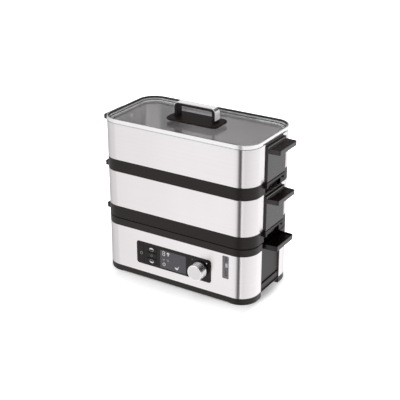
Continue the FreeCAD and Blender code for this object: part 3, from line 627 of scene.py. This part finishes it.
class STEAMER_OT_controls(bpy.types.Operator):
    """Finish the control panel, the buttons, the display and the knob."""

    bl_idname = "steamer.controls"
    bl_label = "Controls"

    def execute(self, context):
        finish = context.scene.steamer_finish
        dress(gloss_plastic("panel_black", finish.panel, 0.16, 1.33), "control_panel", *KEYS)
        dress(gloss_plastic("display_window", finish.display, 0.12), "display_lens", "display_module")
        skirt_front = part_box("selector_knob")[1].y - context.scene.steamer_trim.knob_skirt
        dress(knob_metal(finish.polish, finish.panel, skirt_front), "selector_knob", "knob_shaft")
        dress(satin_metal("knob_satin", scaled(finish.steel, 0.93), middle("knob_face")), "knob_face")
        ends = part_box("indicator_lights")
        dress(indicator_window("indicator_clear", LIGHT_DULL, PAINTED_GLINT, *ends), "indicator_lights")
        return {"FINISHED"}


# Black strips above the end handles: painted shade for the steel's dark reflection of the handle and
# the gap above it
SHADE_STRIP_GAP = 0.1 * MM
SHADE_STRIP_INSET = 2.5 * MM
SHADE_STRIP_EDGE = 0.4 * MM


def handle_shade_strip(tier, side, trim, surface):
    """Black strip on the wall along the top of an end handle's plate: painted shade, standing in for
    the steel's dark reflection of the handle and the shade of the gap above it.
    """
    low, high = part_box(f"{tier}_{side}_handle")
    outward = 1 if side == "right" else -1
    root = low.x if side == "right" else high.x
    width = high.y - low.y - 2 * SHADE_STRIP_INSET
    shape = bmesh.new()
    bmesh.ops.create_cube(shape, size=1.0)
    bmesh.ops.scale(shape, verts=shape.verts[:], vec=(trim.shade_strip_depth, width, trim.shade_strip_height))
    bmesh.ops.bevel(
        shape,
        geom=[e for e in shape.edges if all(v.co.x * outward > 0 for v in e.verts)],
        offset=SHADE_STRIP_EDGE,
        segments=3,
        profile=0.5,
        affect="EDGES",
        material=-1,
    )
    place = (
        root + outward * trim.shade_strip_depth / 2,
        (low.y + high.y) / 2,
        high.z + SHADE_STRIP_GAP + trim.shade_strip_height / 2,
    )
    bmesh.ops.translate(shape, verts=shape.verts[:], vec=place)
    made = add_piece(f"{tier}_{side}_handle_lip", shape, surface)
    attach(made, tier + "_container")


class STEAMER_OT_containers(bpy.types.Operator):
    """Finish both containers: steel walls, black rings and handles, and add black strips of painted
    shade above the handles.
    """

    bl_idname = "steamer.containers"
    bl_label = "Containers"

    def execute(self, context):
        finish = context.scene.steamer_finish
        wall = brushed_steel("wall_steel", finish.steel)
        black = moulded_plastic("ring_black", finish.black, MATT, ior=1.36)
        grip = moulded_plastic("grip_black", finish.black, (0.22, 0.30), ior=1.56, grain=0.05)
        screw = screw_steel("handle_screw_steel")
        floor = brushed_steel("floor_steel", finish.steel, FLOOR_BRUSH, 0.3, 0.6)
        for tier in ("lower", "upper"):
            dress(wall, tier + "_wall")
            dress(black, tier + "_ring")
            dress(screw, tier + "_handle_screws")
            dress(floor, tier + "_floor")
            for side in ("left", "right"):
                handle = f"{tier}_{side}_handle"
                dress(grip, handle)
                leave_out_of_mirrors(handle)
                # The handle stays out of mirrors, and a black strip of painted shade stands in for its
                # dark reflection in the steel above it
                handle_shade_strip(tier, side, context.scene.steamer_trim, black)
        return {"FINISHED"}


class STEAMER_OT_lid(bpy.types.Operator):
    """Finish the lid: glass, silver rim, black liner and gasket, and the bridge handle."""

    bl_idname = "steamer.lid"
    bl_label = "Lid"

    def execute(self, context):
        finish = context.scene.steamer_finish
        dress(clear_glass("lid_pane", LID_TINT, 0.0), "lid_glass")
        dress(silver_lacquer("rim_silver", finish.polish, 0.68), "lid_rim")
        leave_out_of_mirrors("lid_rim")
        # Painted reflection: the liner is black for the dark surroundings that the rim's inner face
        # mirrors, and the gasket at the glass edge shares that black
        dress(silicone("lid_silicone", RIM_REFLECTION_BLACK), "lid_liner", "lid_gasket")
        black = moulded_plastic("handle_black", finish.black, (0.34, 0.44))
        dress(black, "lid_handle_plate", "lid_handle_bridge")
        dress(silver_lacquer("trim_silver", finish.trim, 0.03, bare_bends=True), "lid_handle_trim")
        dress(screw_steel("lid_screw_steel"), "lid_handle_screws", "lid_handle_washers")
        return {"FINISHED"}


FACING = Matrix.Rotation(math.radians(90), 4, "X")
CIRCLE_SIDES = 28


class Print:
    """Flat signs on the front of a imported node, drawn in millimetres about its middle."""

    def __init__(self, node):
        low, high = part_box(node)
        self.mesh = bmesh.new()
        self.x = (low.x + high.x) / 2
        self.z = (low.z + high.z) / 2
        self.face = low.y

    def at(self, x, z):
        return Matrix.Translation((self.x + x * MM, self.face, self.z + z * MM)) @ FACING

    def circle(self, x, z, radius, stretch, filled):
        made = bmesh.ops.create_circle(
            self.mesh,
            cap_ends=filled,
            segments=CIRCLE_SIDES,
            radius=radius * MM,
            matrix=self.at(x, z) @ Matrix.Scale(stretch, 4, (1, 0, 0)),
        )
        return made["verts"]

    def keep(self, verts, level, upper):
        """Cut a shape at a level and keep what lies above or below it."""
        edges = {e for v in verts for e in v.link_edges}
        faces = {f for v in verts for f in v.link_faces}
        bmesh.ops.bisect_plane(
            self.mesh,
            geom=[*verts, *edges, *faces],
            plane_co=(0, 0, self.z + level * MM),
            plane_no=(0, 0, 1),
            clear_outer=not upper,
            clear_inner=upper,
        )

    def half_disc(self, x, z, radius, upper, stretch=1.0, cut=0.0):
        self.keep(self.circle(x, z, radius, stretch, True), z + cut, upper)

    def ring(self, x, z, radius, line, stretch=1.0):
        verts = []
        for size in (radius, radius - line):
            verts += self.circle(x, z, size, stretch, False)
        bmesh.ops.bridge_loops(self.mesh, edges=list({e for v in verts for e in v.link_edges}))
        return verts

    def half_ring(self, x, z, radius, line, upper, stretch=1.0, cut=0.0):
        self.keep(self.ring(x, z, radius, line, stretch), z + cut, upper)

    def bar(self, x, z, width, tall, turn=0.0):
        turned = self.at(x, z) @ Matrix.Rotation(math.radians(turn), 4, "Z")
        bmesh.ops.create_grid(
            self.mesh,
            x_segments=1,
            y_segments=1,
            size=0.5 * MM,
            matrix=turned @ Matrix.Diagonal((width, tall, 1, 1)),
        )

    def piece(self, name, body, surface):
        """Thicken the drawing and let it ride on a body."""
        depth = bpy.context.scene.steamer_trim.sign_depth
        grown = bmesh.ops.extrude_face_region(self.mesh, geom=self.mesh.faces[:])
        raised = [v for v in grown["geom"] if isinstance(v, bmesh.types.BMVert)]
        bmesh.ops.translate(self.mesh, verts=raised, vec=(0, -depth, 0))
        bmesh.ops.recalc_face_normals(self.mesh, faces=self.mesh.faces[:])
        made = add_piece(name, self.mesh, surface)
        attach(made, body)


def power_sign(surface):
    """Ring with an upright bar through its top."""
    sign = Print("power_button")
    sign.ring(0, 0, 2.8, 0.7)
    sign.bar(0, 1.9, 0.7, 2.6)
    sign.piece("power_sign", "power_key", surface)


def start_sign(surface):
    """Small ring."""
    sign = Print("start_button")
    sign.ring(0, 0, 2.2, 0.5)
    sign.piece("start_sign", "start_key", surface)


OVAL_RADIUS = 3.6
OVAL_STRETCH = 1.28
OVAL_LINE = 0.6
OVAL_CUT = 0.7


def tier_sign(tier, upper, filling, line):
    """Oval whose upper or lower part is filled."""
    button = tier + "_tier_button"
    key = tier + "_tier_key"
    cut = OVAL_CUT if upper else -OVAL_CUT
    filled = Print(button)
    filled.half_disc(0, 0, OVAL_RADIUS, upper, OVAL_STRETCH, cut)
    filled.piece(tier + "_tier_sign", key, filling)
    rest = Print(button)
    rest.half_ring(0, 0, OVAL_RADIUS, OVAL_LINE, not upper, OVAL_STRETCH, cut)
    rest.piece(tier + "_tier_outline", key, line)


def stacked_rings(sign, x, z):
    sign.ring(x, z + 2.2, 2.5, 0.9, 1.1)
    sign.ring(x, z - 2.2, 2.7, 0.9, 1.1)


def capped_post(sign, x, z):
    sign.half_disc(x, z, 3.1, True)
    sign.bar(x, z - 1.8, 2.2, 4.0)


def bowl_and_spoon(sign, x, z):
    sign.half_disc(x, z, 4.0, False)
    sign.bar(x + 3.4, z + 1.4, 1.1, 4.4, -35)


def stemmed_bowl(sign, x, z):
    sign.half_disc(x, z, 2.6, False)
    sign.bar(x, z - 3.0, 0.8, 2.4)


def slanted_bars(sign, x, z, count):
    for column in range(count):
        sign.bar(x + 1.7 * column, z, 0.8, 5.0, 12)


def display_signs(bright, dim):
    """Lit signs at the top and the bottom of the display, and faint ones between them."""
    lit = Print("display_lens")
    stacked_rings(lit, -19.4, 12.0)
    capped_post(lit, -10.0, 12.6)
    lit.ring(-18.8, -9.7, 3.2, 1.0, 0.95)
    bowl_and_spoon(lit, 8.0, -9.6)
    lit.piece("display_signs", "base", bright)
    faint = Print("display_lens")
    stemmed_bowl(faint, -19.6, 0.6)
    slanted_bars(faint, -12.2, -0.2, 3)
    faint.piece("display_faint_signs", "base", dim)


KEY_LIP = 1.0
KEY_GAP = 0.3


def key_groove_shade(surface):
    """Dark lines between the three lower buttons: painted shade, standing in for the shade inside
    grooves.
    """
    grooves = Print("control_panel")
    low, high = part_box(KEYS[1])
    x = ((low.x + high.x) / 2 - grooves.x) / MM
    width = (high.x - low.x) / MM - 2 * (KEY_LIP - KEY_GAP)
    for above, below in zip(KEYS[1:], KEYS[2:]):
        rib_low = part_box(below)[1].z
        rib_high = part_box(above)[0].z
        z = ((rib_low + rib_high) / 2 - grooves.z) / MM
        grooves.bar(x, z, width, (rib_high - rib_low) / MM - 2 * KEY_GAP)
    grooves.piece("button_grooves", "base", surface)


class STEAMER_OT_signs(bpy.types.Operator):
    """Print plain signs on the buttons and in the display, and dark lines of painted shade between the
    buttons.
    """

    bl_idname = "steamer.signs"
    bl_label = "Signs"

    def execute(self, context):
        finish = context.scene.steamer_finish
        white = gloss_plastic("sign_white", finish.sign, 0.3)
        dim = gloss_plastic("sign_dim", scaled(finish.sign, 0.36), 0.3)
        power_sign(dim)
        tier_sign("upper", True, white, dim)
        tier_sign("lower", False, white, dim)
        start_sign(dim)
        display_signs(white, dim)
        key_groove_shade(gloss_plastic("groove_black", GROOVE_SHADE, 0.6, 1.03))
        return {"FINISHED"}


# Name, place, height of the aim, width and power setting of each soft lamp
LAMPS = (
    ("key_light", (-0.9, -1.5, 1.9), 0.15, 1.6, "key_power"),
    ("fill_light", (1.7, -0.2, 1.3), 0.15, 1.2, "fill_power"),
    ("top_light", (0.0, 0.2, 2.2), 0.2, 1.4, "key_power"),
)


def softbox(name, place, aim_height, size, power):
    """Large soft lamp that mirrors and panes don't show."""
    lamp = bpy.data.lights.new(name, "AREA")
    lamp.shape = "SQUARE"
    lamp.size = size
    lamp.energy = power
    holder = bpy.data.objects.new(name, lamp)
    holder.location = place
    holder.rotation_mode = "QUATERNION"
    holder.rotation_quaternion = (Vector((0, 0, aim_height)) - Vector(place)).to_track_quat("-Z", "Y")
    holder.visible_glossy = False
    holder.visible_transmission = False
    bpy.context.scene.collection.objects.link(holder)


# Degrees to the right of the front, and the brightness that reflections see there
SURROUNDINGS = (
    (-180, 1.05),
    (-150, 0.58),
    (-100, 0.64),
    (-75, 0.82),
    (-45, 0.88),
    (-40, 0.82),
    (-37, 0.94),
    (-34, 1.28),
    (-32, 1.36),
    (-30, 1.05),
    (-24, 1.08),
    (-8, 0.96),
    (5, 0.08),
    (18, 0.08),
    (22, 1.38),
    (33, 0.98),
    (57, 1.06),
    (97, 1.16),
    (125, 1.20),
    (148, 1.35),
    (162, 1.20),
    (180, 1.05),
)
BRIGHTEST = 2.0
DARK_SKY = 0.80
DARK_TOP = 0.6
DARK_FLAG = 0.95
AMBIENT = 0.55
FULL_TURN = 2 * math.pi


def by_direction(recipe, direction):
    """Brightness of the studio panels by direction.

    A dark gap stands at the front right, the sky is dark behind and overhead, and a dark flag
    hangs at the upper right.
    """
    across, along, up = recipe.axes(direction)
    azimuth = across.angle_from(along * -1.0)
    stops = [(0.5 + degrees / 360, value / BRIGHTEST) for degrees, value in SURROUNDINGS]
    turn = azimuth * (1 / FULL_TURN) + 0.5
    panels = recipe.node("ShaderNodeValToRGB", {"stops": stops}, {0: turn})
    behind = recipe.remap(along, 0.0, 0.45, 0.0, 1.0, True)
    above = recipe.remap(up, 0.05, 0.25, 0.0, 1.0, True)
    overhead = recipe.remap(up, 0.75, 0.95, 0.0, DARK_TOP, True)
    dark = (behind * above).largest(overhead)
    right = recipe.remap(across, 0.22, 0.36, 0.0, 1.0, True)
    flag = right * recipe.remap(up, 0.03, 0.14, 0.0, DARK_FLAG, True)
    return panels * BRIGHTEST * (1 - dark * DARK_SKY) * (1 - flag)


def studio_world():
    """White background for the camera, panels for reflections and an even light for the rest."""
    world = bpy.data.worlds.new("studio")
    bpy.context.scene.world = world
    recipe = Recipe(world)
    direction = recipe.node("ShaderNodeTexCoord", output="Generated")
    shown = by_direction(recipe, direction)
    camera = recipe.node("ShaderNodeLightPath", output="Is Camera Ray")
    glossy = recipe.node("ShaderNodeLightPath", output="Is Glossy Ray")
    through = recipe.node("ShaderNodeLightPath", output="Is Transmission Ray")
    seen = camera.largest(through)
    plain = (1 - glossy) * AMBIENT + glossy * shown
    strength = seen + (1 - seen) * plain
    surface = recipe.node("ShaderNodeBackground", inputs={"Color": (1, 1, 1, 1), "Strength": strength})
    recipe.result("ShaderNodeOutputWorld", surface)


FLOOR_SIZE = 6.0
# Painted light: glow added to the floor for the camera, next to the base and further away, and more of
# it on the right, on the left and at the back, where it washes out the base's shadow
FLOOR_LIFT = 0.18
FLOOR_GLOW_FAR = 0.68
LIFT_RIGHT = 0.55
LIFT_SIDES = 0.35
FADE_AWAY = 80 * MM
FADE_RIGHT = 18 * MM
FADE_LEFT = 40 * MM


def studio_floor():
    """White floor with a painted glow for the camera, which keeps the base's shadow mostly in front
    and fades to the white background.
    """
    made, recipe = material("floor_white")
    paper = recipe.noise((30.0, 30.0, 30.0), 2.0)
    low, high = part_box("base_pan")
    spot = recipe.spot()
    beyond = recipe.vector("SUBTRACT", recipe.vector("ABSOLUTE", spot), (high.x, high.y, 0))
    outside = recipe.vector("MAXIMUM", beyond, (0, 0, 0))
    reach = recipe.vector("LENGTH", outside, output="Value")
    across, along, _ = recipe.axes(spot)
    # Painted light: this glow lies on top of the floor's own shading and thins the base's shadow
    away = recipe.remap(reach, 0.0, FADE_AWAY, FLOOR_LIFT, FLOOR_GLOW_FAR)
    right = recipe.remap(across, high.x, high.x + FADE_RIGHT, 0.0, LIFT_RIGHT)
    left = recipe.remap(across, low.x + FADE_LEFT, low.x, 0.0, LIFT_SIDES)
    back = recipe.remap(along, 0.0, high.y, 0.0, LIFT_SIDES)
    camera = recipe.node("ShaderNodeLightPath", output="Is Camera Ray")
    shown = (away + right + left + back) * camera
    glow = recipe.node("ShaderNodeCombineColor", inputs={0: shown, 1: shown, 2: shown})
    principled(
        recipe,
        {
            "Base Color": recipe.tint(paper, (0.86, 0.86, 0.86), (0.88, 0.88, 0.88)),
            "Roughness": 0.6,
            "Specular IOR Level": 0.0,
            "Emission Color": glow,
            "Emission Strength": 1.0,
        },
    )
    shape = bmesh.new()
    bmesh.ops.create_grid(shape, x_segments=1, y_segments=1, size=FLOOR_SIZE)
    floor = add_piece("floor", shape, made)
    floor.visible_glossy = False


def studio_camera(studio):
    """Camera that looks down at the aim point from the front right."""
    lens = bpy.data.cameras.new("camera")
    lens.sensor_width = 36.0
    lens.lens = studio.lens
    level = math.cos(studio.elevation)
    right = Vector((math.cos(studio.azimuth), math.sin(studio.azimuth), 0))
    back = Vector((right.y * level, -right.x * level, math.sin(studio.elevation)))
    aim = Vector((0, 0, studio.aim_height)) + right * studio.aim_right
    camera = bpy.data.objects.new("camera", lens)
    camera.location = aim + back * studio.distance
    camera.rotation_mode = "QUATERNION"
    camera.rotation_quaternion = (-back).to_track_quat("-Z", "Y")
    bpy.context.scene.collection.objects.link(camera)
    bpy.context.scene.camera = camera


class STEAMER_OT_stage(bpy.types.Operator):
    """Set the floor, the light and the camera."""

    bl_idname = "steamer.stage"
    bl_label = "Stage"

    def execute(self, context):
        studio = context.scene.steamer_studio
        context.scene.view_settings.view_transform = "Standard"
        studio_floor()
        studio_world()
        for name, place, aim_height, size, power in LAMPS:
            softbox(name, place, aim_height, size, getattr(studio, power))
        studio_camera(studio)
        return {"FINISHED"}


class STEAMER_PT_panel(bpy.types.Panel):
    """Lists the steps and the settings."""

    bl_idname = "STEAMER_PT_panel"
    bl_label = "Stacked steamer"
    bl_space_type = "VIEW_3D"
    bl_region_type = "UI"
    bl_category = "Steamer"

    def draw(self, context):
        for step in STEPS:
            self.layout.operator(step.bl_idname)
        scene = context.scene
        for group in (scene.steamer_finish, scene.steamer_trim, scene.steamer_studio):
            for name in group.bl_rna.properties.keys():
                if name not in {"rna_type", "name"}:
                    self.layout.prop(group, name)


STEPS = (
    STEAMER_OT_base,
    STEAMER_OT_controls,
    STEAMER_OT_containers,
    STEAMER_OT_lid,
    STEAMER_OT_signs,
    STEAMER_OT_stage,
)
CLASSES = (SteamerFinish, SteamerTrim, SteamerStudio, *STEPS, STEAMER_PT_panel)


def register():
    for made in CLASSES:
        bpy.utils.register_class(made)
    bpy.types.Scene.steamer_finish = PointerProperty(type=SteamerFinish)
    bpy.types.Scene.steamer_trim = PointerProperty(type=SteamerTrim)
    bpy.types.Scene.steamer_studio = PointerProperty(type=SteamerStudio)


def unregister():
    del bpy.types.Scene.steamer_studio
    del bpy.types.Scene.steamer_trim
    del bpy.types.Scene.steamer_finish
    for made in reversed(CLASSES):
        bpy.utils.unregister_class(made)


def main():
    register()
    bpy.ops.steamer.base()
    bpy.ops.steamer.controls()
    bpy.ops.steamer.containers()
    bpy.ops.steamer.lid()
    bpy.ops.steamer.signs()
    bpy.ops.steamer.stage()


if __name__ == "__main__":
    main()
